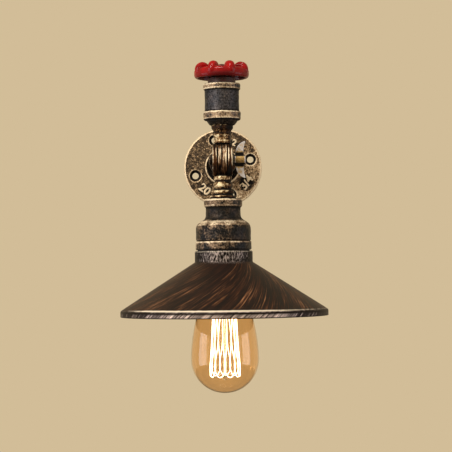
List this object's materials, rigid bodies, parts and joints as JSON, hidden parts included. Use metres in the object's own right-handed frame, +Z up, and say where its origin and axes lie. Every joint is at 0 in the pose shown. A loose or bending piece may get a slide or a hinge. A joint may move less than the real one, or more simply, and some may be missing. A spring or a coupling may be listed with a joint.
{
  "type": "wall light",
  "caption": "Rustic pipe-fitting wall light with a tilting knuckle, a red handwheel, a spun conical shade and an open filament bulb.",
  "frame": {"origin": "centre of the wall flange's back face, on the wall", "axes": "+Y into the wall, +Z up, +X to the right for someone who faces the wall"},
  "size_m": [0.1952, 0.2176, 0.3109],
  "materials": {
    "antique_brass": "rough cast, antique brass",
    "bronze_cast": "cast, bronze with worn edges",
    "blackened_iron": "blackened, dry-brushed with brass on its edges",
    "dark_steel": "aged steel",
    "pale_brass": "aged brass",
    "red_enamel": "glossy red enamel",
    "copper_brushed_steel": "dark brown, brushed with copper",
    "black_phenolic": "moulded, black",
    "black_rubber": "matt",
    "porcelain": "glazed porcelain",
    "amber_glass": "clear, tinted amber",
    "clear_glass": "clear",
    "filament": "glowing"
  },
  "bodies": {
    "wall_side": {"wall_flange": "antique_brass", "wall_nipple": "antique_brass", "fork": "bronze_cast", "pivot_bolt": "dark_steel", "plain_washer": "dark_steel", "spring_washer": "dark_steel"},
    "lamp": {"tongue": "bronze_cast", "upper_neck": "bronze_cast", "upper_bush": "blackened_iron", "coupling": "blackened_iron", "bonnet": "blackened_iron", "gland_nut": "pale_brass", "lower_neck": "bronze_cast", "lower_bush": "bronze_cast", "reducer": "blackened_iron", "threaded_tube": "pale_brass", "tube_nut": "dark_steel", "holder_cap": "black_phenolic", "holder_core": "porcelain", "screw_shell": "pale_brass", "centre_contact": "pale_brass", "holder_sleeve": "black_phenolic", "gasket": "black_rubber", "shade": "copper_brushed_steel", "shade_ring": "black_phenolic"},
    "wing_nut": {"wing_nut": "pale_brass"},
    "handwheel": {"tap_stem": "pale_brass", "handwheel": "red_enamel", "wheel_washer": "dark_steel", "wheel_screw": "dark_steel"},
    "bulb": {"bulb_glass": "amber_glass", "bulb_cap": "pale_brass", "cap_insulator": "black_phenolic", "cap_contact": "dark_steel", "glass_stem": "clear_glass", "filament_supports": "dark_steel", "filament": "filament"}
  },
  "joints": [
    {"name": "lamp_tilt", "type": "hinge", "parent": "wall_side", "child": "lamp", "pos_m": [0, -0.12, 0], "axis": [1, 0, 0], "range_deg": [-40, 8]},
    {"name": "wing_nut_turn", "type": "hinge", "parent": "wall_side", "child": "wing_nut", "pos_m": [0, -0.12, 0], "axis": [1, 0, 0], "continuous": true},
    {"name": "handwheel_turn", "type": "hinge", "parent": "lamp", "child": "handwheel", "pos_m": [0, -0.12, 0], "axis": [0, 0, 1], "continuous": true},
    {"name": "bulb_turn", "type": "hinge", "parent": "lamp", "child": "bulb", "pos_m": [0, -0.12, 0], "axis": [0, 0, 1], "continuous": true}
  ]
}
